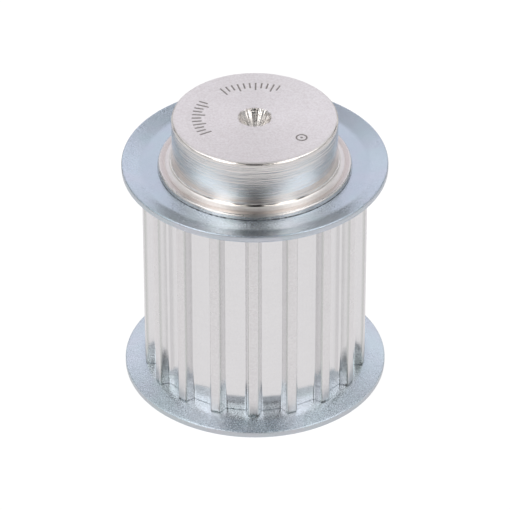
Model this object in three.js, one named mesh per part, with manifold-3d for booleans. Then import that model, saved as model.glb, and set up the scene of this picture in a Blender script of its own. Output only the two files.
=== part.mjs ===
// Timing belt pulley: an 18-tooth, 5 mm pitch trapezoidal-tooth pulley for a 25 mm wide belt.
// Three pieces: one turned and hobbed aluminium body (toothed section, plain hub and the two
// rolled-over retaining lips) and two dished zinc-plated steel flanges held by those lips.
//
// Millimetres, +Z up along the axis of rotation, origin on the axis in the plane of the rear face.
// The plain hub stands at the top.

import * as THREE from "three";
import { mergeVertices } from "three/addons/utils/BufferGeometryUtils.js";
import Module from "manifold-3d";

// ---- belt and tooth sizes -------------------------------------------------------------------
const TEETH = 18;
const PITCH = 5; // mm along the pitch circle
const PITCH_DIAMETER = (TEETH * PITCH) / Math.PI; // 28.648
const PITCH_LINE_TO_TIP = 1.23; // pitch diameter minus outside diameter
const TIP_R = (PITCH_DIAMETER - PITCH_LINE_TO_TIP) / 2; // 13.709
const GROOVE_DEPTH = 1.25;
const GROOVE_BOTTOM_WIDTH = 2.5;
const FLANK_DEG = 25; // each flank from the groove's centre line
const TIP_ROUND = 0.3;
const ROOT_ROUND = 0.3;
const FIRST_TOOTH_DEG = 269.2; // direction of one tooth's centre line, measured from +X

// ---- body lengths ----------------------------------------------------------------------------
const OVERALL = 36;
const HUB_R = 10;
const HUB_CHAMFER = 0.15;
const STEP_TOP = 29.8; // where the hub meets the front lip; also the width over both flanges
const LIP_R = 11.75; // rolled-over lip
const LIP_HEIGHT = 0.65;
const LIP_ROUND = 0.3;
const SEAT_R = 11.05; // turned seat that the flange bore sits on
const LIP_LINE_R = 11.05; // fine circular groove that the rolling tool leaves in the lip's face
const LIP_LINE_WIDTH = 0.16;
const LIP_LINE_DEPTH = 0.07;

// ---- flanges ---------------------------------------------------------------------------------
const SHEET = 0.85;
const FLANGE_R = 16.1;
const FLANGE_BORE_R = 11.1;
const KINK_R = 13.9; // where the flat ring turns into the cone
const RIM_ROUND = 0.16;
const SEAT_GAP = 0.01; // between the flange's faces and the shoulders that hold it

const FLAT_OUT = STEP_TOP - LIP_HEIGHT; // 29.15, outer face of the front flange's flat ring
const FLAT_IN = FLAT_OUT - SHEET; // 28.30, its belt side
const REAR_FLAT_OUT = LIP_HEIGHT;
const REAR_FLAT_IN = REAR_FLAT_OUT + SHEET; // 1.50

// ---- centre-drilled ends ---------------------------------------------------------------------
const CENTRE_MOUTH_R = 2.0;
const CENTRE_PILOT_R = 0.85;
const CENTRE_CONE_DEPTH = (CENTRE_MOUTH_R - CENTRE_PILOT_R) / Math.tan(Math.PI / 6);
const CENTRE_PILOT_DEPTH = 3.6;
const CENTRE_TIP_DEPTH = CENTRE_PILOT_DEPTH + CENTRE_PILOT_R * Math.tan((31 * Math.PI) / 180);

const ROUND_SEGMENTS = 108;

// ---- materials -------------------------------------------------------------------------------
const aluminium = new THREE.MeshStandardMaterial({
  name: "turned_aluminium",
  color: 0xd2d0d4,
  metalness: 1,
  roughness: 0.36,
});
const zincFront = new THREE.MeshStandardMaterial({
  name: "zinc_plated_steel",
  color: 0xb9c3cd,
  metalness: 1,
  roughness: 0.3,
});
const zincRear = zincFront.clone();

// ---- helpers ---------------------------------------------------------------------------------
const wasm = await Module();
wasm.setup();

// A closed geometry with only positions and shared vertices.
function welded(geometry) {
  const g = geometry.index ? geometry.toNonIndexed() : geometry.clone();
  const bare = new THREE.BufferGeometry().setAttribute(
    "position",
    g.getAttribute("position"),
  );
  return mergeVertices(bare, 1e-4);
}

function toSolid(geometry) {
  const g = welded(geometry);
  return new wasm.Manifold(
    new wasm.Mesh({
      numProp: 3,
      vertProperties: new Float32Array(g.attributes.position.array),
      triVerts: new Uint32Array(g.index.array),
    }),
  );
}

function fromSolid(solid) {
  const m = solid.getMesh();
  const points = new Float32Array(m.numVert * 3);
  for (let i = 0; i < m.numVert; i++)
    for (let k = 0; k < 3; k++)
      points[3 * i + k] = m.vertProperties[i * m.numProp + k];
  const g = new THREE.BufferGeometry();
  g.setAttribute("position", new THREE.BufferAttribute(points, 3));
  g.setIndex(new THREE.BufferAttribute(new Uint32Array(m.triVerts), 1));
  g.computeVertexNormals();
  return g;
}

// Revolves [r, z] points about the Z axis.
function revolve(profile, segments = ROUND_SEGMENTS) {
  const g = new THREE.LatheGeometry(
    profile.map(([r, z]) => new THREE.Vector2(r, z)),
    segments,
  );
  g.rotateX(Math.PI / 2);
  return g;
}

// Points of a fillet of radius r at corner b between a and c, in `steps` chords.
function fillet(a, b, c, r, steps) {
  const va = new THREE.Vector2(a[0] - b[0], a[1] - b[1]).normalize();
  const vc = new THREE.Vector2(c[0] - b[0], c[1] - b[1]).normalize();
  const half = Math.acos(THREE.MathUtils.clamp(va.dot(vc), -1, 1)) / 2;
  const t = r / Math.tan(half);
  const mid = va.clone().add(vc).normalize();
  const centre = new THREE.Vector2(b[0], b[1]).addScaledVector(mid, r / Math.sin(half));
  const p0 = new THREE.Vector2(b[0], b[1]).addScaledVector(va, t).sub(centre);
  const p1 = new THREE.Vector2(b[0], b[1]).addScaledVector(vc, t).sub(centre);
  const a0 = Math.atan2(p0.y, p0.x);
  let da = Math.atan2(p1.y, p1.x) - a0;
  while (da > Math.PI) da -= 2 * Math.PI;
  while (da < -Math.PI) da += 2 * Math.PI;
  const out = [];
  for (let i = 0; i <= steps; i++) {
    const t1 = a0 + (da * i) / steps;
    out.push([centre.x + r * Math.cos(t1), centre.y + r * Math.sin(t1)]);
  }
  return out;
}

// ---- toothed section -------------------------------------------------------------------------
// One groove, drawn with its centre line along +Y: tip corner, root corner, root corner, tip corner.
const flank = Math.tan(THREE.MathUtils.degToRad(FLANK_DEG));
const rootY = TIP_R - GROOVE_DEPTH;
const halfBottom = GROOVE_BOTTOM_WIDTH / 2;
let tipY = TIP_R;
for (let i = 0; i < 30; i++) {
  const x = halfBottom + (tipY - rootY) * flank;
  tipY = Math.sqrt(TIP_R * TIP_R - x * x);
}
const tipX = halfBottom + (tipY - rootY) * flank;

function toothedOutline() {
  const points = [];
  const step = (2 * Math.PI) / TEETH;
  const landEnd = Math.PI / 2 - step / 2; // tooth centre line, seen from the groove's own frame
  const landMid = [TIP_R * Math.cos(landEnd), TIP_R * Math.sin(landEnd)];
  const half = [
    ...fillet([-halfBottom, rootY], [-tipX, tipY], [-landMid[0], landMid[1]], TIP_ROUND, 3).reverse(),
    ...fillet([-tipX, tipY], [-halfBottom, rootY], [halfBottom, rootY], ROOT_ROUND, 3),
  ];
  const groove = [
    [-landMid[0], landMid[1]],
    ...half,
    ...half.map(([x, y]) => [-x, y]).reverse(),
  ];
  for (let k = 0; k < TEETH; k++) {
    const turn =
      THREE.MathUtils.degToRad(FIRST_TOOTH_DEG) + step / 2 + k * step - Math.PI / 2;
    const c = Math.cos(turn), s = Math.sin(turn);
    // The groove's own points run clockwise, so they are taken backwards.
    const ring = groove.slice().reverse();
    for (const [x, y] of ring) points.push([x * c - y * s, x * s + y * c]);
  }
  return points;
}

function toothedSection() {
  const shape = new THREE.Shape(
    toothedOutline().map(([x, y]) => new THREE.Vector2(x, y)),
  );
  const g = new THREE.ExtrudeGeometry(shape, {
    depth: FLAT_IN - REAR_FLAT_IN,
    bevelEnabled: false,
    steps: 1,
  });
  g.translate(0, 0, REAR_FLAT_IN);
  return g;
}

// ---- turned core: centre drillings, hub, lips and flange seats ---------------------------------
function lipEnd(zFace, inward) {
  // The lip's outer corner and its face, for the end whose face is at zFace; inward is the
  // direction along Z from that face into the body.
  return {
    face: [
      [LIP_LINE_R - LIP_LINE_WIDTH / 2, zFace],
      [LIP_LINE_R, zFace + inward * LIP_LINE_DEPTH],
      [LIP_LINE_R + LIP_LINE_WIDTH / 2, zFace],
      [LIP_R - LIP_ROUND, zFace],
    ],
    edge: [
      [LIP_R - LIP_ROUND * 0.29, zFace + inward * LIP_ROUND * 0.29],
      [LIP_R, zFace + inward * LIP_ROUND],
    ],
  };
}

function turnedCore() {
  const rear = lipEnd(0, 1);
  const front = lipEnd(STEP_TOP, -1);
  return revolve([
    [0, CENTRE_TIP_DEPTH],
    [CENTRE_PILOT_R, CENTRE_PILOT_DEPTH],
    [CENTRE_PILOT_R, CENTRE_CONE_DEPTH],
    [CENTRE_MOUTH_R, 0],
    ...rear.face,
    ...rear.edge,
    [LIP_R, REAR_FLAT_OUT - SEAT_GAP],
    [SEAT_R, REAR_FLAT_OUT - SEAT_GAP],
    [SEAT_R, FLAT_OUT + SEAT_GAP],
    [LIP_R, FLAT_OUT + SEAT_GAP],
    ...front.edge.slice().reverse(),
    ...front.face.slice().reverse(),
    [HUB_R, STEP_TOP],
    [HUB_R, OVERALL - HUB_CHAMFER],
    [HUB_R - HUB_CHAMFER, OVERALL],
    [CENTRE_MOUTH_R, OVERALL],
    [CENTRE_PILOT_R, OVERALL - CENTRE_CONE_DEPTH],
    [CENTRE_PILOT_R, OVERALL - CENTRE_PILOT_DEPTH],
    [0, OVERALL - CENTRE_TIP_DEPTH],
  ]);
}

function pulleyBody() {
  const whole = toSolid(toothedSection()).add(toSolid(turnedCore()));
  return fromSolid(whole);
}

// ---- flange ----------------------------------------------------------------------------------
// Drawn as the hub-side flange with its belt side at the bottom; the rear one is turned over.
function flangeGeometry() {
  const zIn = FLAT_IN + SEAT_GAP;
  const zOut = FLAT_OUT - SEAT_GAP;
  const rimTop = STEP_TOP;
  const rimBottom = STEP_TOP - 0.89;
  const slope = (rimTop - zOut) / (FLANGE_R - KINK_R);
  const profile = [
    [FLANGE_BORE_R + 0.1, zIn],
    [KINK_R - 0.25, zIn],
    [KINK_R + 0.05, zIn + 0.02],
    [KINK_R + 0.35, zIn + 0.1],
    [FLANGE_R - RIM_ROUND * 0.8, rimBottom - RIM_ROUND * 0.25],
    [FLANGE_R, rimBottom + RIM_ROUND * 0.5],
    [FLANGE_R, rimTop - RIM_ROUND],
    [FLANGE_R - RIM_ROUND * 0.3, rimTop - RIM_ROUND * 0.3],
    [FLANGE_R - RIM_ROUND, rimTop],
    [FLANGE_R - RIM_ROUND * 2, rimTop - RIM_ROUND * slope],
    [KINK_R + 0.22, zOut + 0.09],
    [KINK_R - 0.05, zOut + 0.02],
    [KINK_R - 0.35, zOut],
    [FLANGE_BORE_R, zOut],
    [FLANGE_BORE_R, zIn + 0.1],
    [FLANGE_BORE_R + 0.1, zIn],
  ];
  return revolve(profile);
}

// ---- assembly --------------------------------------------------------------------------------
const pulley = new THREE.Group();
pulley.name = "timing_belt_pulley";

const body = new THREE.Mesh(pulleyBody(), aluminium);
body.name = "pulley_body";
pulley.add(body);

const hubSideFlange = new THREE.Mesh(flangeGeometry(), zincFront);
hubSideFlange.name = "hub_side_flange";
pulley.add(hubSideFlange);

const rearSeat = new THREE.Group();
rearSeat.position.z = STEP_TOP; // the rear flange is the same pressing, turned over end for end
rearSeat.rotation.x = Math.PI;
const rearFlange = new THREE.Mesh(flangeGeometry(), zincRear);
rearFlange.name = "rear_flange";
rearSeat.add(rearFlange);
pulley.add(rearSeat);

export default pulley;
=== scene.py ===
import math

import bpy
import numpy as np
from mathutils import Matrix, Vector


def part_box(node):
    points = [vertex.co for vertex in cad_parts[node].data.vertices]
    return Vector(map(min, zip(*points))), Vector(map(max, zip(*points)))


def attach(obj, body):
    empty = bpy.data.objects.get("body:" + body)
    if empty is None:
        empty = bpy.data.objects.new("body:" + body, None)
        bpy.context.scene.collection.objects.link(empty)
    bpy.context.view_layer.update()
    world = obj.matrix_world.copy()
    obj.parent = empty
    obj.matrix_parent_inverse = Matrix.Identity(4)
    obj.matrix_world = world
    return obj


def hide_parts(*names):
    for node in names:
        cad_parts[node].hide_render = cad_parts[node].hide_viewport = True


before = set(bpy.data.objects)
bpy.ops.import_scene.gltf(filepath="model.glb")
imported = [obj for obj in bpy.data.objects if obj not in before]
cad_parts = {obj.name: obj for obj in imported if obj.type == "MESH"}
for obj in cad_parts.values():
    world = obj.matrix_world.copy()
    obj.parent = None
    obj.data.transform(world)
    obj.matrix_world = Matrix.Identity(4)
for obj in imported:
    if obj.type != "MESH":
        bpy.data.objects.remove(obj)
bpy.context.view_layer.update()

lo_b, hi_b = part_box("pulley_body")
lo_f, hi_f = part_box("hub_side_flange")
lo_r, hi_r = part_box("rear_flange")

MM = 0.001
# ------------------------------------------------------------------------------------------
# Sizes, in millimetres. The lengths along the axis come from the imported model.
LENGTH = hi_b.z / MM
RIM_TOP = hi_f.z / MM
RIM_LOW = lo_r.z / MM
FLANGE_R = hi_f.x / MM
TIP_R = 13.709
GROOVE_DEPTH = 1.25
BOTTOM_W = 2.5
FLANK = math.tan(math.radians(25.0))
TEETH = 18
FIRST_TOOTH = math.radians(269.2)
HUB_R = 10.0
LIP_R = 11.75
SEAT_R = 11.05
FLAT_OUT = RIM_TOP - 0.65
FLAT_IN = FLAT_OUT - 0.85
KINK_R = 13.82
BELT_SLOPE, BELT_BEND, OUTER_BEND = 0.30, 4.5, 2.2

# ------------------------------------------------------------------------------------------
# Helpers


def periodic(theta, seed, low, high, count=24):
    """A smooth closed ripple around the axis, about -1 to 1, with between low and high waves a turn."""
    rng = np.random.default_rng(seed)
    n = rng.integers(low, high + 1, count)
    p = rng.uniform(0, 2 * np.pi, count)
    a = rng.uniform(0.4, 1.0, count)
    s = (a[:, None] * np.cos(n[:, None] * np.asarray(theta)[None, :] + p[:, None])).sum(0)
    return s / np.sqrt((a**2).sum() / 2) / 2.2


def ring(r, z, theta):
    r = np.broadcast_to(r, theta.shape)
    z = np.broadcast_to(z, theta.shape)
    return np.stack([r * np.cos(theta), r * np.sin(theta), z], 1)


def skin(name, rings, poles, materials, material_of_band, closed=False):
    """One closed mesh from rings of equal count. poles are the (first, last) single points, or None when closed."""
    m = len(rings[0])
    verts = np.concatenate(rings) * MM
    quads = []
    count = len(rings)
    j = np.arange(m)
    jn = (j + 1) % m
    mats = []
    bands = count if closed else count - 1
    for i in range(bands):
        a, b = i * m, ((i + 1) % count) * m
        quads.append(np.stack([a + j, a + jn, b + jn, b + j], 1))
        mats.append(np.full(m, material_of_band(i)))
    quads = np.concatenate(quads)
    mats = np.concatenate(mats)
    faces = [tuple(q) for q in quads.tolist()]
    if poles:
        first, last = len(verts), len(verts) + 1
        verts = np.concatenate([verts, np.array(poles, float) * MM])
        faces += [(first, int(jn[k]), int(j[k])) for k in range(m)]
        base = (count - 1) * m
        faces += [(last, base + int(j[k]), base + int(jn[k])) for k in range(m)]
        mats = np.concatenate(
            [mats, np.full(m, material_of_band(0)), np.full(m, material_of_band(count - 2))]
        )
    mesh = bpy.data.meshes.new(name)
    mesh.from_pydata(verts.tolist(), [], faces)
    for mat in materials:
        mesh.materials.append(mat)
    mesh.polygons.foreach_set("material_index", mats.astype(np.int32))
    mesh.polygons.foreach_set("use_smooth", np.ones(len(faces), bool))
    mesh.update()
    o = bpy.data.objects.new(name, mesh)
    bpy.context.scene.collection.objects.link(o)
    return o


def arc_corner(a, b, c, r, steps):
    """Points of a round corner of radius r at b, from the side of a to the side of c."""
    a, b, c = (np.array(p, float) for p in (a, b, c))
    u, v = (a - b) / np.linalg.norm(a - b), (c - b) / np.linalg.norm(c - b)
    half = math.acos(max(-1, min(1, float(u @ v)))) / 2
    t = r / math.tan(half)
    mid = (u + v) / np.linalg.norm(u + v)
    centre = b + mid * r / math.sin(half)
    p0, p1 = b + u * t - centre, b + v * t - centre
    a0 = math.atan2(p0[1], p0[0])
    da = math.atan2(p1[1], p1[0]) - a0
    while da > math.pi:
        da -= 2 * math.pi
    while da < -math.pi:
        da += 2 * math.pi
    k = a0 + da * np.linspace(0, 1, steps + 1)
    return np.stack([centre[0] + r * np.cos(k), centre[1] + r * np.sin(k)], 1)


def between(p, q, shares):
    p, q = np.array(p, float), np.array(q, float)
    return np.array([p + (q - p) * s for s in shares])


# ------------------------------------------------------------------------------------------
# Materials


class Tree:
    """A short way to write a material's nodes."""

    def __init__(self, name):
        self.mat = bpy.data.materials.new(name)
        self.mat.use_nodes = True
        self.t = self.mat.node_tree
        self.t.nodes.clear()

    def node(self, kind, **values):
        n = self.t.nodes.new(kind)
        for k, v in values.items():
            setattr(n, k, v)
        return n

    def set(self, socket, value):
        if isinstance(value, bpy.types.NodeSocket):
            self.t.links.new(value, socket)
        elif value is not None:
            socket.default_value = value

    def math(self, op, a, b=None, c=None, clamp=False):
        n = self.node("ShaderNodeMath", operation=op, use_clamp=clamp)
        for s, v in zip(n.inputs, (a, b, c)):
            self.set(s, v)
        return n.outputs[0]

    def vec(self, x, y, z):
        n = self.node("ShaderNodeCombineXYZ")
        for s, v in zip(n.inputs, (x, y, z)):
            self.set(s, v)
        return n.outputs[0]

    def noise(self, vector, scale=1.0, detail=2.0, rough=0.5, distort=0.0, w=None):
        n = self.node("ShaderNodeTexNoise")
        n.noise_dimensions = "3D"
        self.set(n.inputs["Vector"], vector)
        self.set(n.inputs["Scale"], scale)
        self.set(n.inputs["Detail"], detail)
        self.set(n.inputs["Roughness"], rough)
        self.set(n.inputs["Distortion"], distort)
        return n.outputs["Fac"]

    def ramp(self, value, low, high, to_low=0.0, to_high=1.0, smooth=False):
        n = self.node("ShaderNodeMapRange")
        n.interpolation_type = "SMOOTHSTEP" if smooth else "LINEAR"
        n.clamp = True
        for s, v in zip(n.inputs, (value, low, high, to_low, to_high)):
            self.set(s, v)
        return n.outputs[0]

    def mix(self, fac, a, b):
        n = self.node("ShaderNodeMix", data_type="RGBA")
        self.set(n.inputs[0], fac)
        self.set(n.inputs[6], a)
        self.set(n.inputs[7], b)
        return n.outputs[2]

    def coords(self):
        """Object coordinates in millimetres: x, y, z, distance from the axis, and angle."""
        tc = self.node("ShaderNodeTexCoord")
        sep = self.node("ShaderNodeSeparateXYZ")
        self.t.links.new(tc.outputs["Object"], sep.inputs[0])
        x = self.math("MULTIPLY", sep.outputs[0], 1000.0)
        y = self.math("MULTIPLY", sep.outputs[1], 1000.0)
        z = self.math("MULTIPLY", sep.outputs[2], 1000.0)
        r = self.math("SQRT", self.math("ADD", self.math("MULTIPLY", x, x), self.math("MULTIPLY", y, y)))
        a = self.math("ARCTAN2", y, x)
        return x, y, z, r, a

    def finish(self, color, rough, bump=None, metallic=1.0, anisotropic=0.0, rotation=0.0, bumps=(), **plain):
        p = self.node("ShaderNodeBsdfPrincipled")
        out = self.node("ShaderNodeOutputMaterial")
        self.t.links.new(p.outputs[0], out.inputs[0])
        self.set(p.inputs["Base Color"], color)
        self.set(p.inputs["Roughness"], rough)
        p.inputs["Metallic"].default_value = metallic
        p.inputs["Anisotropic"].default_value = anisotropic
        p.inputs["Anisotropic Rotation"].default_value = rotation
        for k, v in plain.items():
            p.inputs[k].default_value = v
        if anisotropic:
            tan = self.node("ShaderNodeTangent", direction_type="RADIAL", axis="Z")
            self.t.links.new(tan.outputs[0], p.inputs["Tangent"])
        last = None
        for height, distance, strength in bumps:
            b = self.node("ShaderNodeBump")
            self.set(b.inputs["Height"], height)
            b.inputs["Distance"].default_value = distance
            b.inputs["Strength"].default_value = strength
            if last is not None:
                self.t.links.new(last, b.inputs["Normal"])
            last = b.outputs[0]
        if last is not None:
            self.t.links.new(last, p.inputs["Normal"])
        return self.mat


def turned(name, base, rough, lines=5.0, line_depth=0.0022, line_tone=0.10, blotch=0.06, aniso=0.55, speck_depth=0.001, marks=False, grain=0.05, dirt_and_shade=None):
    """Aluminium off the lathe: fine lines round the axis, on faces as well as on round walls."""
    t = Tree(name)
    x, y, z, r, a = t.coords()
    along = t.math("ADD", z, r)

    def rings(per_mm, drift, detail, rough_n):
        return t.noise(t.vec(t.math("MULTIPLY", x, drift), t.math("MULTIPLY", y, drift), t.math("MULTIPLY", along, per_mm)), 1.0, detail, rough_n)

    feed = rings(lines, 0.10, 2.0, 0.55)
    fine = rings(lines * 3.1, 0.28, 2.0, 0.6)
    broad = rings(lines / 4, 0.05, 2.0, 0.5)
    cloud = t.noise(t.vec(x, y, z), 0.35, 3.0, 0.55)
    speck = t.noise(t.vec(x, y, z), 4.4, 3.0, 0.6)
    shade = t.math("ADD", t.math("MULTIPLY", t.math("SUBTRACT", feed, 0.5), line_tone),
                   t.math("MULTIPLY", t.math("SUBTRACT", cloud, 0.5), blotch * 2))
    shade = t.math("ADD", shade, t.math("MULTIPLY", t.math("SUBTRACT", fine, 0.5), line_tone))
    shade = t.math("ADD", shade, t.math("MULTIPLY", t.math("SUBTRACT", speck, 0.5), grain))
    fac = t.math("ADD", shade, 0.5, clamp=True)
    color = t.mix(fac, tuple(c * 0.72 for c in base) + (1,), tuple(min(1, c * 1.28) for c in base) + (1,))
    rg = t.math("ADD", rough, t.math("MULTIPLY", t.math("SUBTRACT", cloud, 0.5), 0.12))
    rg = t.math("ADD", rg, t.math("MULTIPLY", t.math("SUBTRACT", broad, 0.5), 0.14), clamp=True)
    height = t.math("ADD", feed, t.math("ADD", t.math("MULTIPLY", fine, 0.3), broad))
    bumps = [(height, line_depth * MM, 1.0), (speck, speck_depth * MM, 1.0)]
    if marks:
        # painted light: the face is painted lighter towards +x and +y, standing in for the uneven sheen of the turned
        # face under the lights
        drift = t.math("ADD", t.math("MULTIPLY", x, 0.0045), t.math("MULTIPLY", y, 0.006))
        color = t.mix(t.math("ADD", t.math("ADD", shade, drift), 0.5, clamp=True), tuple(c * 0.72 for c in base) + (1,), tuple(min(1, c * 1.28) for c in base) + (1,))
        mask = index_marks(t, x, y, r, a)
        color = t.mix(t.math("MULTIPLY", mask, 0.72), color, (0.16, 0.14, 0.13, 1))
        rg = t.math("ADD", rg, t.math("MULTIPLY", mask, 0.2), clamp=True)
    if dirt_and_shade == "mouth":
        # swarf and cutting oil dried in the mouth of the centre hole
        patch = t.ramp(t.noise(t.vec(x, y, z), 1.5, 4.0, 0.7), 0.47, 0.58, 0, 1, True)
        near = t.ramp(r, 1.05, 1.75, 0.15, 1, True)
        dirt_and_shade_mask = t.math("MULTIPLY", patch, near)
        color = t.mix(t.math("MULTIPLY", dirt_and_shade_mask, 0.62), color, (0.36, 0.31, 0.28, 1))
        rg = t.math("ADD", rg, t.math("MULTIPLY", dirt_and_shade_mask, 0.22), clamp=True)
    if dirt_and_shade == "foot":
        # painted shade: a broken dark line where the lip bites on the flange, at both lips, standing in for the
        # shadow in the gap at the lip's foot
        low = t.math("MAXIMUM", t.ramp(z, RIM_TOP - 0.53, RIM_TOP - 0.60, 0, 1), t.math("MULTIPLY", t.ramp(z, 0.57, 0.62, 0, 0.7), t.math("LESS_THAN", z, 5.0)))
        patch = t.ramp(t.noise(t.vec(x, y, 0.0), 2.6, 2.0, 0.6), 0.42, 0.54, 0.25, 1, True)
        dirt_and_shade_mask = t.math("MULTIPLY", low, patch)
        color = t.mix(t.math("MULTIPLY", dirt_and_shade_mask, 0.85), color, (0.16, 0.16, 0.17, 1))
        rg = t.math("ADD", rg, t.math("MULTIPLY", dirt_and_shade_mask, 0.3), clamp=True)
    return t.finish(color, rg, anisotropic=aniso, rotation=0.25, bumps=bumps)


# The graduations cut in the hub's face: (from, to) angle in degrees, one tick every TICK degrees.
TICK = 5.75
TICK_ARCS = ((63.0, 128.0), (150.0, 211.0))
TICK_R = (6.15, 7.55)
TICK_W = 0.2
DOT_AT = (5.55, -4.35)
DOT_R = 0.62


def index_marks(t, x, y, r, a):
    """1 in the graduations and the punched ring on the hub's face, 0 outside."""
    deg = t.math("MULTIPLY", a, 180 / math.pi)
    deg = t.math("ADD", deg, t.math("MULTIPLY", t.math("LESS_THAN", deg, 0.0), 360.0))
    turn = t.math("DIVIDE", deg, TICK)
    off = t.math("ABSOLUTE", t.math("SUBTRACT", t.math("FRACT", turn), 0.5))  # 0 at the tick
    dist = t.math("MULTIPLY", t.math("MULTIPLY", off, math.radians(TICK)), r)
    line = t.ramp(dist, TICK_W / 2 + 0.03, TICK_W / 2 - 0.03, 0, 1)
    third = t.math("LESS_THAN", t.math("MODULO", t.math("FLOOR", turn), 3.0), 0.5)
    low = t.math("SUBTRACT", TICK_R[0] + 0.25, t.math("MULTIPLY", third, 0.45))
    inside = t.math("MULTIPLY", t.math("GREATER_THAN", r, low), t.math("LESS_THAN", r, TICK_R[1]))
    arcs = None
    for a0, a1 in TICK_ARCS:
        one = t.math("MULTIPLY", t.math("GREATER_THAN", deg, a0), t.math("LESS_THAN", deg, a1))
        arcs = one if arcs is None else t.math("MAXIMUM", arcs, one)
    ticks = t.math("MULTIPLY", t.math("MULTIPLY", line, inside), arcs)
    dx = t.math("SUBTRACT", x, DOT_AT[0])
    dy = t.math("SUBTRACT", y, DOT_AT[1])
    d = t.math("SQRT", t.math("ADD", t.math("MULTIPLY", dx, dx), t.math("MULTIPLY", dy, dy)))
    rim = t.ramp(t.math("ABSOLUTE", t.math("SUBTRACT", d, DOT_R)), 0.13, 0.07, 0, 1)
    dot = t.ramp(d, 0.2, 0.12, 0, 1)
    return t.math("MAXIMUM", ticks, t.math("MAXIMUM", rim, dot))


def hobbed(name, base, rough):
    """Aluminium as the gear cutter leaves it: fine lines along the axis, and the odd cross wave."""
    t = Tree(name)
    x, y, z, r, a = t.coords()
    fine = t.noise(t.vec(t.math("MULTIPLY", x, 7.0), t.math("MULTIPLY", y, 7.0), t.math("MULTIPLY", z, 0.16)), 1.0, 3.0, 0.6)
    wave = t.noise(t.vec(t.math("MULTIPLY", x, 0.12), t.math("MULTIPLY", y, 0.12), t.math("MULTIPLY", z, 1.3)), 1.0, 2.0, 0.5)
    cloud = t.noise(t.vec(x, y, z), 0.4, 3.0, 0.55)
    speck = t.noise(t.vec(x, y, z), 6.0, 3.0, 0.6)
    shade = t.math("ADD", t.math("MULTIPLY", t.math("SUBTRACT", fine, 0.5), 0.08), t.math("MULTIPLY", t.math("SUBTRACT", cloud, 0.5), 0.10))
    shade = t.math("ADD", shade, t.math("MULTIPLY", t.math("SUBTRACT", wave, 0.5), 0.05))
    shade = t.math("ADD", shade, t.math("MULTIPLY", t.math("SUBTRACT", speck, 0.5), 0.35))
    fac = t.math("ADD", shade, 0.5, clamp=True)
    color = t.mix(fac, tuple(c * 0.72 for c in base) + (1,), tuple(min(1, c * 1.28) for c in base) + (1,))
    rg = t.math("ADD", rough, t.math("MULTIPLY", t.math("SUBTRACT", cloud, 0.5), 0.10), clamp=True)
    # darker, greener and a little rougher in patches towards the tips of the teeth
    tip_band = t.math("MULTIPLY", t.ramp(r, 13.25, 13.6, 0, 1, True), t.ramp(speck, 0.2, 0.6, 0.6, 1.0))
    color = t.mix(t.math("MULTIPLY", tip_band, 0.75), color, (0.60, 0.62, 0.595, 1))
    rg = t.math("ADD", rg, t.math("MULTIPLY", tip_band, 0.14), clamp=True)
    # painted shade: dark patches at the ends of the teeth, where they meet the flanges, standing in for the shadow
    # under the burrs there
    ends = t.math("MAXIMUM", t.ramp(z, 1.80, 1.60, 0, 1, True), t.ramp(z, FLAT_IN - 0.30, FLAT_IN - 0.10, 0, 1, True))
    patch = t.ramp(t.noise(t.vec(x, y, t.math("MULTIPLY", z, 0.6)), 1.15, 3.0, 0.65), 0.46, 0.56, 0, 1, True)
    burr = t.math("MULTIPLY", t.math("MULTIPLY", ends, patch), t.ramp(r, 13.0, 13.45, 0, 1, True))
    color = t.mix(t.math("MULTIPLY", burr, 0.85), color, (0.20, 0.18, 0.16, 1))
    rg = t.math("ADD", rg, t.math("MULTIPLY", burr, 0.25), clamp=True)
    return t.finish(color, rg, anisotropic=0.8, rotation=0.0,
                    bumps=[(fine, 0.004 * MM, 1.0), (wave, 0.003 * MM, 1.0), (speck, 0.0008 * MM, 1.0)])


def zinc(name, base, rough):
    """Zinc plate with a blue passivation over rolled sheet: a fine grain, faint colour drift and dull spots."""
    t = Tree(name)
    x, y, z, r, a = t.coords()
    grain = t.noise(t.vec(x, y, z), 4.8, 4.0, 0.65)
    pebble = t.noise(t.vec(x, y, z), 1.7, 2.0, 0.5)
    cloud = t.noise(t.vec(x, y, z), 0.28, 3.0, 0.55)
    hue = t.noise(t.vec(t.math("ADD", x, 31.0), y, z), 0.22, 2.0, 0.5)
    blue = tuple(base) + (1,)
    green = (base[0] * 0.97, base[1] * 1.03, base[2] * 0.98, 1)
    warm = (base[0] * 1.05, base[1] * 0.99, base[2] * 0.99, 1)
    color = t.mix(t.ramp(hue, 0.38, 0.62, 0, 1, True), green, warm)
    color = t.mix(t.ramp(cloud, 0.3, 0.7, 0.35, 0.95, True), color, blue)
    spot = t.ramp(grain, 0.60, 0.72, 0, 1, True)
    color = t.mix(t.math("MULTIPLY", spot, 0.20), color, (base[0] * 0.6, base[1] * 0.62, base[2] * 0.64, 1))
    rg = t.math("ADD", rough, t.math("MULTIPLY", t.math("SUBTRACT", cloud, 0.5), 0.16))
    rg = t.math("ADD", rg, t.math("MULTIPLY", t.math("SUBTRACT", grain, 0.5), 0.22), clamp=True)
    return t.finish(color, rg, bumps=[(grain, 0.034 * MM, 1.0), (pebble, 0.013 * MM, 1.0)])


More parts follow.
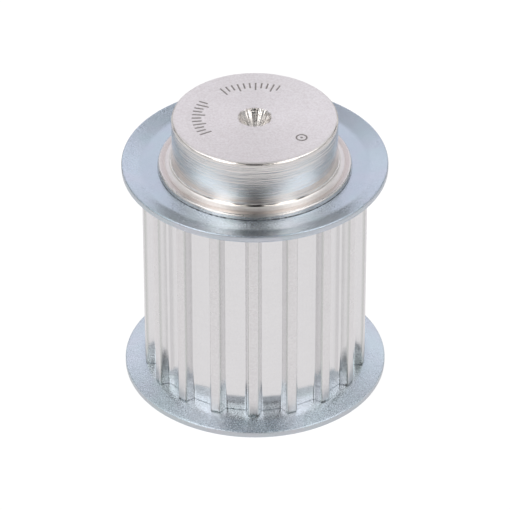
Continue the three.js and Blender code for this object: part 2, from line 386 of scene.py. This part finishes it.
ALU = (0.86, 0.845, 0.855)
ZINC = (0.545, 0.628, 0.718)
m_face = turned("turned_aluminium_face", (0.92, 0.865, 0.85), 0.42, lines=4.6, line_depth=0.022, line_tone=0.14, blotch=0.10, aniso=0.3, speck_depth=0.006, marks=True, grain=0.95)
m_round = turned("turned_aluminium_round", (0.96, 0.885, 0.83), 0.17, lines=4.2, line_depth=0.042, line_tone=0.24, aniso=0.7, speck_depth=0.003, grain=0.30)
m_end = turned("turned_aluminium_end", (0.88, 0.83, 0.80), 0.42, lines=3.6, line_depth=0.025, line_tone=0.14, aniso=0.2, speck_depth=0.006, grain=0.60)
m_groove = hobbed("hobbed_aluminium", (0.92, 0.905, 0.92), 0.15)
m_land = turned("turned_aluminium_lands", (0.82, 0.79, 0.80), 0.30, lines=4.0, line_depth=0.012, line_tone=0.08, aniso=0.3, speck_depth=0.005, grain=0.60)
m_lip = turned("rolled_aluminium_lip", (0.71, 0.665, 0.645), 0.38, lines=3.0, line_depth=0.03, line_tone=0.26, blotch=0.12, aniso=0.1, speck_depth=0.012, grain=0.60)
# the rolled edge carries a painted shade line at the lip's foot
m_roll = turned("rolled_aluminium_edge", (0.70, 0.69, 0.685), 0.27, lines=5.0, line_depth=0.022, line_tone=0.22, blotch=0.10, aniso=0.3, speck_depth=0.016, grain=0.70, dirt_and_shade="foot")
m_hole = turned("drilled_aluminium", (0.92, 0.885, 0.86), 0.20, lines=4.0, line_depth=0.02, line_tone=0.16, aniso=0.3, speck_depth=0.008, grain=0.50, dirt_and_shade="mouth")
m_zinc = zinc("zinc_plated_steel", ZINC, 0.24)
m_rim = zinc("zinc_plated_rim", (0.62, 0.662, 0.72), 0.40)
# the rear flange's zinc is a copy of the front's, painted lighter on the plate and painted darker on the rim,
# standing in for how the light falls on the lower flange; its plate is also a little rougher
m_zinc_rear_painted_lighter = zinc("zinc_plated_steel_rear_painted_lighter", (0.58, 0.66, 0.738), 0.26)
m_rim_rear_painted_darker = zinc("zinc_plated_rim_rear_painted_darker", (0.575, 0.61, 0.65), 0.40)

# ------------------------------------------------------------------------------------------
# Pulley body: one closed skin of rings, from the centre hole in the rear face to the one in the hub.

# One tooth pitch of outline, from the middle of a tooth to the middle of the next, 40 steps.
root_y = TIP_R - GROOVE_DEPTH
half_b = BOTTOM_W / 2
tip_y = TIP_R
for _ in range(40):
    tip_x = half_b + (tip_y - root_y) * FLANK
    tip_y = math.sqrt(TIP_R**2 - tip_x**2)
step = 2 * math.pi / TEETH
land = (-TIP_R * math.sin(step / 2), TIP_R * math.cos(step / 2))


def outline(inset, tip_round=0.26, root_round=0.3):
    """The toothed outline, drawn in by inset everywhere, as a ring of TEETH * 40 points (x, y)."""
    ry, hb = root_y - inset, half_b + inset * (1 / math.cos(math.atan(FLANK)) - FLANK)
    radius = TIP_R - inset
    ty = radius
    for _ in range(40):
        tx = hb + (ty - ry) * FLANK
        ty = math.sqrt(radius**2 - tx**2)
    lm = (-radius * math.sin(step / 2), radius * math.cos(step / 2))
    tip = arc_corner(lm, (-tx, ty), (-hb, ry), max(0.05, tip_round - inset), 6)
    root = arc_corner((-tx, ty), (-hb, ry), (hb, ry), root_round, 6)
    half = np.concatenate([
        between(lm, tip[0], (0, 0.9)),  # land
        tip,
        between(tip[-1], root[0], (0.1, 0.9)),
        root,
        between(root[-1], (0, ry), (0.1, 0.55)),
    ])  # 2 + 7 + 2 + 7 + 2 = 20 points, the middle of the groove left out
    # the land runs on the tip circle, not on a chord
    for k in (0, 1):
        half[k] *= radius / np.linalg.norm(half[k])
    other = half[1:] * (-1, 1)
    pitch = np.concatenate([half, [[0.0, ry]], other[::-1]])  # 20 + 1 + 19
    out = []
    for k in range(TEETH):
        turn = FIRST_TOOTH + step / 2 + k * step - math.pi / 2
        c, s = math.cos(turn), math.sin(turn)
        p = pitch * (-1, 1)  # the profile is symmetric, and mirrored it runs anticlockwise
        p = np.stack([p[:, 0] * c - p[:, 1] * s, p[:, 0] * s + p[:, 1] * c], 1)
        out.append(p)
    return np.concatenate(out)


base = outline(0.0)
M = len(base)
start = math.atan2(base[0][1], base[0][0])
theta_t = np.unwrap(np.arctan2(base[:, 1], base[:, 0]))
theta_u = theta_t[0] + np.arange(M) * 2 * math.pi / M


def mixed(w):
    """Angles between even spacing (0) and the outline's own spacing (1)."""
    return theta_u * (1 - w) + theta_t * w


rings, kinds = [], []  # kinds[i] is the material of the band that starts at ring i
FACE, ROUND, END, GROOVE, LAND, LIP, ROLL, HOLE = 0, 1, 2, 3, 4, 5, 6, 7


def add(r, z, kind, w=0.0, dr=None, dz=None):
    th = mixed(w)
    rings.append(ring(np.asarray(r) + (0 if dr is None else dr), np.asarray(z) + (0 if dz is None else dz), th))
    kinds.append(kind)


def add_outline(inset, z, kind, dz=None, dr=None, **kw):
    p = outline(inset, **kw)
    if dr is not None:
        p = p * (1 + np.asarray(dr) / TIP_R)[:, None]
    zz = np.broadcast_to(z, (M,)) + (0 if dz is None else dz)
    rings.append(np.concatenate([p, zz[:, None]], 1))
    kinds.append(kind)


MOUTH, PILOT = 2.0, 0.85
CONE = (MOUTH - PILOT) / math.tan(math.radians(30))
DRILL = 3.6
TIPD = DRILL + PILOT * math.tan(math.radians(31))


def centre_hole(face_z, inward, seed):
    """Rings (r, z, dr, dz) from the bottom of a centre-drilled hole to its mouth; inward is +1 at the rear, -1 at the hub.

    The countersink carries the chatter of the drill and its mouth a small uneven burr."""
    z = lambda d: face_z + inward * d
    chatter = periodic(theta_u, seed, 9, 26, 10)
    burr = np.clip(periodic(theta_u, seed + 1, 7, 60, 40) + 0.2, -0.3, 1.3)
    out = [(0.12, z(TIPD - 0.07)), (0.5, z(DRILL + 0.21)), (PILOT - 0.03, z(DRILL + 0.02)), (PILOT, z(DRILL - 0.04))]
    out += [(PILOT, z(d)) for d in (3.0, 2.4, CONE + 0.06)]
    out = [(r, q, None, None) for r, q in out]
    out.append((PILOT + 0.02, z(CONE - 0.01), 0.01 * chatter, None))
    for s in (0.1, 0.2, 0.35, 0.5, 0.65, 0.8, 0.9):
        out.append((PILOT + (MOUTH - 0.05 - PILOT) * s, z(CONE * (1 - s) + 0.06 * s), (0.004 + 0.022 * s) * chatter, None))
    out.append((MOUTH - 0.05, z(0.060), 0.026 * chatter + 0.03 * burr, None))
    out.append((MOUTH - 0.015, z(0.006), 0.026 * chatter + 0.045 * burr, -inward * 0.022 * burr))
    out.append((MOUTH + 0.03, z(-0.004), 0.026 * chatter + 0.045 * burr, -inward * 0.026 * burr))
    out.append((MOUTH + 0.09, z(0), 0.020 * chatter + 0.04 * burr, -inward * 0.008 * burr))
    out.append((MOUTH + 0.16, z(0), None, None))
    return out


for r, z, dr, dz in centre_hole(0.0, 1, 401):
    add(r, z, HOLE if r < MOUTH + 0.05 else END, dr=dr, dz=dz)

# rear face, faced on the lathe, with the line that the rolling tool leaves
th = theta_u
for r in (2.4, 3.5, 5.0, 6.5, 8.0, 9.2, 10.2, 10.55):
    add(r, 0.0, END)


def lip(face_z, inward, rolled_seed):
    """Rings of a rolled lip, from its face at r 10.8 out and down to the seat."""
    up = periodic(th, rolled_seed, 3, 14)
    fine = periodic(th, rolled_seed + 1, 30, 150, 60)
    mid = periodic(th, rolled_seed + 2, 12, 60, 40)
    z = lambda d: face_z + inward * d
    return [
        (10.70, z(0.0), None, None, END),
        (10.80, z(0.0), None, None, END),
        (10.835, z(0.020), None, None, LIP),
        (10.875, z(0.050), None, None, LIP),
        (10.96, z(0.054), None, None, LIP),
        (11.005, z(0.024), None, None, LIP),
        (11.045, z(0.002), None, None, LIP),
        (11.12, z(-0.004), 0.003 * up, None, LIP),
        (11.22, z(-0.002), 0.004 * up, inward * 0.003 * mid, LIP),
        (11.32, z(0.002), 0.005 * up, inward * 0.003 * mid, LIP),
        (11.42, z(0.012), 0.006 * up, inward * 0.003 * mid, LIP),
        (11.50, z(0.032), 0.006 * up, inward * 0.003 * mid, ROLL),
        (11.56, z(0.062), 0.007 * up + 0.002 * mid, None, ROLL),
        (11.61, z(0.105), 0.008 * up + 0.003 * mid, None, ROLL),
        (11.65, z(0.160), 0.010 * up + 0.003 * mid, None, ROLL),
        (11.677, z(0.225), 0.012 * up + 0.004 * mid, None, ROLL),
        (11.695, z(0.300), 0.013 * up + 0.005 * mid, None, ROLL),
        (11.708, z(0.390), 0.014 * up + 0.006 * mid + 0.001 * fine, None, ROLL),
        (11.718, z(0.480), 0.015 * up + 0.006 * mid + 0.002 * fine, None, ROLL),
        (11.727, z(0.560), 0.016 * up + 0.006 * mid + 0.004 * fine, 0.002 * fine, ROLL),
        (11.732, z(0.612), 0.018 * up + 0.008 * fine, 0.004 * fine, ROLL),
        (11.725, z(0.634), 0.018 * up + 0.009 * fine, 0.004 * fine, ROLL),
        (11.68, z(0.646), 0.018 * up + 0.008 * fine, None, ROLL),
        (11.48, z(0.648), None, None, ROLL),
        (SEAT_R + 0.03, z(0.648), None, None, END),
        (SEAT_R, z(0.66), None, None, END),
    ]


for r, z, dr, dz, k in lip(0.0, 1, 71):
    add(r, z, k, dr=dr, dz=dz)
add(SEAT_R, 1.44, END)
add(SEAT_R + 0.02, 1.497, END)
add(11.6, 1.5, END, w=0.35)
add(12.0, 1.5, END, w=0.7)

# tooth ends: slightly broken edges with small burrs left by the cutter
ragged = periodic(theta_t, 5, 40, 200, 80)
ragged2 = periodic(theta_t, 6, 40, 160, 80)
radial = np.linalg.norm(base, axis=1)
on_tip = np.clip((radial - 13.2) / 0.4, 0, 1)
rag = np.clip(0.5 + 0.5 * ragged, 0, 1.2)
rag2 = np.clip(0.5 + 0.5 * ragged2, 0, 1.2)
# here and there the cutter tore the foot of a tooth: a shallow bite of its own for every tooth
rng = np.random.default_rng(23)
bite = np.zeros(M)
turn_t = (theta_t - FIRST_TOOTH) / step
near_tooth = np.round(turn_t)
across = (turn_t - near_tooth) * step * TIP_R
for k in range(TEETH):
    on = (near_tooth.astype(int) % TEETH) == k
    depth, centre, wide = rng.uniform(0.06, 0.26), rng.uniform(-0.16, 0.16), rng.uniform(0.22, 0.40)
    bite[on] = depth * np.exp(-(((across[on] - centre) / wide) ** 2))
bite = bite * (0.7 + 0.5 * rag) * on_tip
add_outline(0.022, 1.5, END, dr=-(0.03 * rag * on_tip + bite))
add_outline(0.014, 1.506, GROOVE, dr=-(0.03 * rag * on_tip + bite))
add_outline(0.004, 1.535, GROOVE, dr=-(0.02 * rag2 * on_tip + 0.97 * bite), dz=0.01 * rag * on_tip)
add_outline(0.0, 1.60, GROOVE, dr=-(0.01 * rag2 * on_tip + 0.72 * bite), dz=0.02 * rag * on_tip)
add_outline(0.0, 1.68, GROOVE, dr=-0.22 * bite, dz=0.03 * ragged2 * on_tip)
add_outline(0.0, 1.78, GROOVE)
span = FLAT_IN - 1.5
for s in np.linspace(0.02, 0.98, 13):
    wave = periodic(theta_t, 40 + int(s * 50), 2, 30, 30)
    add_outline(0.0, 1.5 + span * s, GROOVE, dr=0.004 * wave)
add_outline(0.0, FLAT_IN - 0.25, GROOVE)
add_outline(0.0, FLAT_IN - 0.12, GROOVE, dr=-(0.02 + 0.03 * rag) * on_tip, dz=-0.03 * rag2 * on_tip)
add_outline(0.012, FLAT_IN - 0.035, GROOVE, dr=-(0.06 + 0.05 * rag) * on_tip)
add_outline(0.04, FLAT_IN - 0.006, END, dr=-(0.08 + 0.06 * rag) * on_tip)
add_outline(0.06, FLAT_IN, END, dr=-(0.10 + 0.06 * rag) * on_tip)
add(12.0, FLAT_IN, END, w=0.7)
add(11.6, FLAT_IN, END, w=0.35)
add(SEAT_R + 0.02, FLAT_IN + 0.003, END)
add(SEAT_R, FLAT_IN + 0.06, END)

front_lip = lip(RIM_TOP, -1, 91)[::-1]
# a band takes the material of the ring that it starts from, so the order is turned with it
for i, (r, z, dr, dz, k) in enumerate(front_lip):
    add(r, z, ROLL if r > 11.45 else LIP if r > 10.81 else END, dr=dr, dz=dz)

# step face, then the fillet that the tool's nose leaves at the foot of the hub, and the hub's wall
FILLET = 0.66
for k in np.linspace(0, 90, 13):
    c, q = math.cos(math.radians(k)), math.sin(math.radians(k))
    add(HUB_R + FILLET * (1 - q), RIM_TOP + FILLET * (1 - c), END if k < 40 else ROUND)
CH = 0.26
hub_wave = periodic(th, 12, 2, 9, 12)
for s in np.linspace(0.06, 0.96, 9):
    add(HUB_R, RIM_TOP + FILLET + (LENGTH - CH - RIM_TOP - FILLET - 0.05) * s, ROUND, dr=0.003 * hub_wave * math.sin(s * math.pi))
edge_a = periodic(th, 14, 4, 40, 40)
edge_b = periodic(th, 15, 30, 180, 80)
add(HUB_R, LENGTH - CH - 0.04, ROUND, dz=0.012 * edge_a)
add(HUB_R - 0.007, LENGTH - CH, ROUND, dz=0.012 * edge_a + 0.004 * edge_b)
add(HUB_R - 0.030, LENGTH - CH + 0.055, ROUND, dz=0.010 * edge_a + 0.005 * edge_b)
add(HUB_R - 0.075, LENGTH - CH + 0.115, ROUND, dz=0.008 * edge_a + 0.005 * edge_b)
add(HUB_R - 0.135, LENGTH - 0.085, FACE, dr=0.006 * edge_b, dz=0.006 * edge_a)
add(HUB_R - 0.205, LENGTH - 0.035, FACE, dr=0.008 * edge_b + 0.012 * edge_a)
add(HUB_R - 0.265, LENGTH - 0.008, FACE, dr=0.008 * edge_b + 0.014 * edge_a)
add(HUB_R - 0.33, LENGTH, FACE, dr=0.014 * edge_a)


# hub face with the graduations pressed in
def mark_depth(theta, r):
    deg = np.degrees(theta) % 360
    turn = deg / TICK
    off = np.abs(turn % 1 - 0.5) * math.radians(TICK) * r
    line = np.clip((TICK_W / 2 + 0.05 - off) / 0.1, 0, 1)
    third = (np.floor(turn) % 3) < 0.5
    low = TICK_R[0] + 0.25 - 0.45 * third
    edge = np.clip((r - low + 0.05) / 0.1, 0, 1) * np.clip((TICK_R[1] + 0.05 - r) / 0.1, 0, 1)
    arcs = np.zeros_like(deg)
    for a0, a1 in TICK_ARCS:
        arcs = np.maximum(arcs, ((deg > a0) & (deg < a1)).astype(float))
    x, y = r * np.cos(theta), r * np.sin(theta)
    d = np.hypot(x - DOT_AT[0], y - DOT_AT[1])
    dot = np.maximum(np.clip((0.14 - np.abs(d - DOT_R)) / 0.08, 0, 1), np.clip((0.22 - d) / 0.1, 0, 1))
    return np.maximum(line * edge * arcs, dot)


face_r = [9.5, 9.2, 8.8, 8.3, 7.95]
face_r += list(np.arange(7.7, 5.65, -0.0625))
face_r += [5.5, 5.2, 4.8, 4.2, 3.6, 3.0, 2.5]
for r in face_r:
    add(r, LENGTH, FACE, dz=-0.045 * mark_depth(th, r))
for r, z, dr, dz in centre_hole(LENGTH, -1, 411)[::-1]:
    add(r, z, HOLE if r < MOUTH + 0.1 else FACE, dr=dr, dz=dz)

body = skin(
    "pulley_body_fine",
    rings,
    ((0, 0, TIPD), (0, 0, LENGTH - TIPD)),
    [m_face, m_round, m_end, m_groove, m_land, m_lip, m_roll, m_hole],
    lambda i: kinds[i],
)
# the lands keep the turned finish of the blank
me = body.data
centres = np.zeros(len(me.polygons) * 3, np.float32)
me.polygons.foreach_get("center", centres)
centres = centres.reshape(-1, 3) / MM
index = np.zeros(len(me.polygons), np.int32)
me.polygons.foreach_get("material_index", index)
rc = np.hypot(centres[:, 0], centres[:, 1])
zc = centres[:, 2]
index[(index == GROOVE) & (rc > 13.66) & (zc > 1.80) & (zc < FLAT_IN - 0.30)] = LAND
me.polygons.foreach_set("material_index", index)
me.set_sharp_from_angle(angle=math.radians(50))
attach(body, "root")
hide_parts("pulley_body")

# ------------------------------------------------------------------------------------------
# Flanges: a pressed ring of sheet, flat inside and coned outside, with a sheared and tumbled rim.


def flange(name, seed, turned_over, plate, sheared):
    m = 540
    t = np.arange(m) * 2 * math.pi / m
    slow = periodic(t, seed, 2, 6, 8)
    nick = periodic(t, seed + 1, 30, 120, 50)
    nick2 = periodic(t, seed + 2, 20, 170, 60)
    z_in, z_out = FLAT_IN + 0.01, FLAT_OUT - 0.01
    slope, slope_out = BELT_SLOPE, (0.65 + 0.01) / (FLANGE_R - 0.16 - KINK_R + 0.05)
    rows = []

    def bend(z_flat, r_k, radius, a):
        """The flat, the bend and the start of the cone, as (r, z) going outward."""
        out = []
        t_len = radius * math.tan(a / 2)
        for k in np.linspace(0, 1, 10):
            ang = a * k
            out.append((r_k - t_len + radius * math.sin(ang), z_flat + radius * (1 - math.cos(ang))))
        return out

    inner = bend(z_in, KINK_R + 0.02, BELT_BEND, math.atan(slope))
    outer = bend(z_out, KINK_R - 0.05, OUTER_BEND, math.atan(slope_out))
    rim_high = RIM_TOP
    # underside (belt side), from the bore outwards
    rows.append((SEAT_R + 0.16, z_in))
    rows.append((SEAT_R + 0.4, z_in))
    rows.append((12.4, z_in))
    rows += inner
    for s in (0.15, 0.4, 0.65, 0.88, 0.97):
        r0, z0 = inner[-1]
        r1 = FLANGE_R - 0.17
        rows.append((r0 + (r1 - r0) * s, z0 + (r1 - r0) * s * slope))
    low_start = len(rows)
    zl = inner[-1][1] + (FLANGE_R - 0.17 - inner[-1][0]) * slope
    for k in (12, 28, 44, 58, 72, 84):  # the side where the punch entered is rolled over
        c, q = math.cos(math.radians(k)), math.sin(math.radians(k))
        rows.append((FLANGE_R - 0.15 * (1 - q) - 0.003, zl + 0.15 * (1 - c) + 0.02))
    rim_first = len(rows) - 1
    rows.append((FLANGE_R, zl + 0.19))
    rows.append((FLANGE_R - 0.012, zl + 0.205))
    rows.append((FLANGE_R, zl + 0.22))
    rows.append((FLANGE_R, zl + 0.36))
    rows.append((FLANGE_R, rim_high - 0.24))
    rows.append((FLANGE_R - 0.004, rim_high - 0.20))
    rows.append((FLANGE_R - 0.022, rim_high - 0.175))
    rows.append((FLANGE_R - 0.018, rim_high - 0.13))
    rim_last = len(rows) - 1
    rows.append((FLANGE_R - 0.05, rim_high - 0.065))
    rows.append((FLANGE_R - 0.095, rim_high - 0.018))
    rows.append((FLANGE_R - 0.15, rim_high))
    rows.append((FLANGE_R - 0.21, rim_high - 0.008))
    rim_end = len(rows)
    # upper side, from the rim inwards
    r1, z1 = FLANGE_R - 0.25, rim_high - 0.022
    r0, z0 = outer[-1]
    for s in (0.0, 0.06, 0.3, 0.6, 0.88):
        rows.append((r1 + (r0 - r1) * s, z1 + (z0 - z1) * s))
    rows += outer[::-1]
    rows.append((12.6, z_out))
    rows.append((SEAT_R + 0.4, z_out))
    rows.append((SEAT_R + 0.14, z_out))
    rows.append((SEAT_R + 0.07, z_out - 0.02))
    rows.append((SEAT_R + 0.05, z_out - 0.08))
    rows.append((SEAT_R + 0.05, z_in + 0.12))
    rows.append((SEAT_R + 0.08, z_in + 0.03))
    made = []
    for i, (r, z) in enumerate(rows):
        rr = np.full(m, r)
        zz = np.full(m, z)
        if low_start <= i < rim_end:
            rr = rr + 0.008 * slow + 0.004 * nick - 0.012
            zz = zz + 0.006 * nick2 * (i <= rim_first or i >= rim_last)
        if r > KINK_R - 0.8:
            zz = zz + 0.012 * slow * (r - KINK_R + 0.8) / 3 - 0.006 * (r > 15.5)
        if turned_over:
            zz = RIM_TOP + RIM_LOW - zz
        made.append(ring(rr, zz, t))
    if turned_over:
        made = made[::-1]
        kind = [0] * len(rows)
        for i in range(len(rows)):
            j = len(rows) - 1 - i  # ring i of the turned order came from row j
            kind[i] = 1 if rim_first < j <= rim_last else 0
    else:
        kind = [1 if rim_first <= i < rim_last else 0 for i in range(len(rows))]
    o = skin(name, made, None, [plate, sheared], lambda i: kind[i], closed=True)
    o.data.set_sharp_from_angle(angle=math.radians(50))
    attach(o, "root")
    return o


front = flange("hub_side_flange_fine", 201, False, m_zinc, m_rim)
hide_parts("hub_side_flange")
# the rear flange takes the copies with the painted light and the painted shade
rear = flange("rear_flange_fine", 301, True, m_zinc_rear_painted_lighter, m_rim_rear_painted_darker)
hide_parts("rear_flange")

# ------------------------------------------------------------------------------------------
# Floor, light and camera


class Studio(Tree):
    """Nodes shared by the floor and the surroundings. Azimuth is 0 at the front (-Y) and 90 at the right."""

    def __init__(self, tree):
        self.t = tree
        self.t.nodes.clear()

    def direction(self, vector):
        sep = self.node("ShaderNodeSeparateXYZ")
        self.t.links.new(vector, sep.inputs[0])
        x, y, z = sep.outputs
        azimuth = self.math("MULTIPLY", self.math("ARCTAN2", x, self.math("MULTIPLY", y, -1.0)), 180 / math.pi)
        return x, y, z, azimuth

    def window(self, azimuth, elevation, centre, half, soft, low, high, edge):
        """1 inside a soft-edged panel of sky, 0 outside."""
        turned_to = self.math("ADD", azimuth, 540.0 - centre)
        off = self.math("ABSOLUTE", self.math("SUBTRACT", self.math("MODULO", turned_to, 360.0), 180.0))
        inside = self.ramp(off, half - soft, half + soft, 1.0, 0.0, True)
        above = self.ramp(elevation, low - edge, low + edge, 0.0, 1.0, True)
        below = self.ramp(elevation, high - edge, high + edge, 1.0, 0.0, True)
        return self.math("MULTIPLY", inside, self.math("MULTIPLY", above, below))


# Soft panels round the object: (azimuth, half width, soft edge, low, high elevation, soft edge, brightness, tint).
# A soft box stands on each side of the camera, two hang over the sides, a paler sweep rises behind
# and a white rim runs round the horizon. The camera's own side stays dark.
PLAIN, WARM, COOL = (1.0, 0.988, 0.985), (1.03, 0.995, 0.955), (1.0, 0.967, 1.035)
PANELS = [
    (42, 13, 5, 8, 56, 4, 1.60, WARM),
    (-42, 13, 5, 8, 56, 4, 2.10, WARM),
    (20, 9, 3, 31, 41, 2, 1.90, WARM),
    (-20, 9, 3, 31, 41, 2, 2.30, WARM),
    (76, 22, 6, 44, 72, 4, 2.00, PLAIN),
    (-76, 22, 6, 44, 72, 4, 2.00, PLAIN),
    (75, 20, 6, 30, 44, 3, 1.55, PLAIN),
    (-75, 20, 6, 30, 44, 3, 1.50, PLAIN),
    (120, 25, 6, 30, 44, 3, 1.08, PLAIN),
    (-120, 25, 6, 30, 44, 3, 1.14, PLAIN),
    (122, 28, 6, 57, 72, 3, 1.55, PLAIN),
    (-122, 28, 6, 57, 72, 3, 1.55, PLAIN),
    (153, 11, 4, 44, 57, 3, 0.52, PLAIN),
    (-153, 11, 4, 44, 57, 3, 0.54, PLAIN),
    (150, 10, 4, 8, 30, 3, 0.56, PLAIN),
    (-150, 10, 4, 8, 30, 3, 0.50, PLAIN),
    (0, 38, 6, 56, 72, 4, 0.22, PLAIN),
    (180, 20, 5, 8, 20, 3, 1.05, COOL),
    (180, 36, 5, 20, 42, 3, 0.93, COOL),
    (180, 16, 5, 42, 56, 3, 0.85, COOL),
    (180, 32, 5, 56, 72, 3, 0.08, COOL),
    (97, 30, 6, 8, 30, 3, 0.45, PLAIN),
    (-97, 30, 6, 8, 30, 3, 0.40, PLAIN),
    (107, 45, 8, -10, 5, 3, 1.70, PLAIN),
    (-107, 45, 8, -10, 5, 3, 1.90, PLAIN),
    (180, 30, 8, -10, 5, 3, 0.90, PLAIN),
    (0, 62, 8, -10, 5, 3, 0.80, PLAIN),
    (0, 24, 8, -10, 5, 3, 0.60, PLAIN),
]
TOP = 0.08
BELOW = 0.80


def studio_world():
    world = bpy.data.worlds.new("studio")
    bpy.context.scene.world = world
    world.use_nodes = True
    t = Studio(world.node_tree)
    tc = t.node("ShaderNodeTexCoord")
    x, y, z, azimuth = t.direction(tc.outputs["Generated"])
    elevation = t.math("MULTIPLY", t.math("ARCSINE", z), 180 / math.pi)
    total = t.ramp(elevation, 70.0, 76.0, 0.0, TOP, True)
    total = t.math("ADD", total, t.ramp(elevation, -12.0, -8.0, BELOW, 0.0, True))
    sums = {PLAIN: total}
    for centre, half, soft, e0, e1, edge, value, tint in PANELS:
        w = t.math("MULTIPLY", t.window(azimuth, elevation, centre, half, soft, e0, e1, edge), value)
        sums[tint] = t.math("ADD", sums[tint], w) if tint in sums else w
    lit = None
    for tint, strength in sums.items():
        one = t.node("ShaderNodeBackground")
        one.inputs[0].default_value = tint + (1,)
        t.set(one.inputs[1], strength)
        if lit is None:
            lit = one
        else:
            both = t.node("ShaderNodeAddShader")
            t.t.links.new(lit.outputs[0], both.inputs[0])
            t.t.links.new(one.outputs[0], both.inputs[1])
            lit = both
    plain = t.node("ShaderNodeBackground")
    plain.inputs[0].default_value = (1, 1, 1, 1)
    plain.inputs[1].default_value = 1.0
    path = t.node("ShaderNodeLightPath")
    mix = t.node("ShaderNodeMixShader")
    t.t.links.new(path.outputs["Is Camera Ray"], mix.inputs[0])
    t.t.links.new(lit.outputs[0], mix.inputs[1])
    t.t.links.new(plain.outputs[0], mix.inputs[2])
    out = t.node("ShaderNodeOutputWorld")
    t.t.links.new(mix.outputs[0], out.inputs[0])


def floor_material():
    """Pale paper that glows evenly near the object and falls off to the dark side behind the camera."""
    m = bpy.data.materials.new("pale_floor")
    m.use_nodes = True
    t = Studio(m.node_tree)
    tc = t.node("ShaderNodeTexCoord")
    x, y, z, azimuth = t.direction(tc.outputs["Object"])
    r = t.math("MULTIPLY", t.math("SQRT", t.math("ADD", t.math("MULTIPLY", x, x), t.math("MULTIPLY", y, y))), 1000.0)
    near = t.ramp(r, 45.0, 90.0, 0.84, 0.78, True)
    front = t.ramp(t.math("ABSOLUTE", azimuth), 18.0, 34.0, 1.0, 0.0, True)
    side = t.ramp(t.math("ABSOLUTE", azimuth), 55.0, 80.0, 0.0, 1.0, True)
    far = t.math("SUBTRACT", 0.58, t.math("MULTIPLY", front, 0.56))
    far = t.math("SUBTRACT", far, t.math("MULTIPLY", side, 0.38))
    away = t.ramp(r, 130.0, 175.0, 0.0, 1.0, True)
    level = t.math("ADD", t.math("MULTIPLY", near, t.math("SUBTRACT", 1.0, away)), t.math("MULTIPLY", far, away))
    glow = t.node("ShaderNodeEmission")
    glow.inputs[0].default_value = (1, 0.985, 0.995, 1)
    t.set(glow.inputs[1], level)
    # what the camera sees of it: plain pale paper with only the softest shading under the rim
    paper = t.node("ShaderNodeBsdfDiffuse")
    paper.inputs[0].default_value = (0.12, 0.12, 0.12, 1)
    bright = t.node("ShaderNodeEmission")
    bright.inputs[0].default_value = (1, 1, 1, 1)
    bright.inputs[1].default_value = 0.945
    seen = t.node("ShaderNodeAddShader")
    t.t.links.new(paper.outputs[0], seen.inputs[0])
    t.t.links.new(bright.outputs[0], seen.inputs[1])
    path = t.node("ShaderNodeLightPath")
    mix = t.node("ShaderNodeMixShader")
    t.t.links.new(path.outputs["Is Camera Ray"], mix.inputs[0])
    t.t.links.new(glow.outputs[0], mix.inputs[1])
    t.t.links.new(seen.outputs[0], mix.inputs[2])
    clear = t.node("ShaderNodeBsdfTransparent")
    geo = t.node("ShaderNodeNewGeometry")
    under = t.node("ShaderNodeMixShader")
    t.t.links.new(geo.outputs["Backfacing"], under.inputs[0])
    t.t.links.new(mix.outputs[0], under.inputs[1])
    t.t.links.new(clear.outputs[0], under.inputs[2])
    out = t.node("ShaderNodeOutputMaterial")
    t.t.links.new(under.outputs[0], out.inputs[0])
    return m


def floor():
    """A round white sheet, open under the pulley and clear when seen from below."""
    radii = [0.0150, 0.03, 0.08, 0.3, 1.2, 4.0]
    m = 96
    verts, faces = [], []
    for r in radii:
        for k in range(m):
            a = 2 * math.pi * k / m
            verts.append((r * math.cos(a), r * math.sin(a), -0.00003))
    for i in range(len(radii) - 1):
        for k in range(m):
            n = (k + 1) % m
            faces.append((i * m + k, (i + 1) * m + k, (i + 1) * m + n, i * m + n))
    mesh = bpy.data.meshes.new("floor")
    mesh.from_pydata(verts, [], faces)
    mesh.materials.append(floor_material())
    o = bpy.data.objects.new("floor", mesh)
    bpy.context.scene.collection.objects.link(o)
    return o


floor()
studio_world()

cam_data = bpy.data.cameras.new("camera")
cam_data.sensor_width = 36
cam_data.lens = 300.78
cam_data.clip_start = 0.01
cam_data.clip_end = 20
cam = bpy.data.objects.new("camera", cam_data)
bpy.context.scene.collection.objects.link(cam)
DIST, ELEV, AIM, ROLL = 0.520976, math.radians(35.328), 0.015820, math.radians(-0.082)
cam.location = (0, -DIST * math.cos(ELEV), AIM + DIST * math.sin(ELEV))
look = Vector((0, 0, AIM)) - Vector(cam.location)
quat = look.to_track_quat("-Z", "Y")
cam.rotation_mode = "QUATERNION"
cam.rotation_quaternion = quat @ Matrix.Rotation(ROLL, 4, "Z").to_quaternion()
bpy.context.scene.camera = cam

scene = bpy.context.scene
scene.view_settings.view_transform = "Standard"
scene.view_settings.look = "None"
scene.view_settings.exposure = 0.0
scene.view_settings.gamma = 1.0
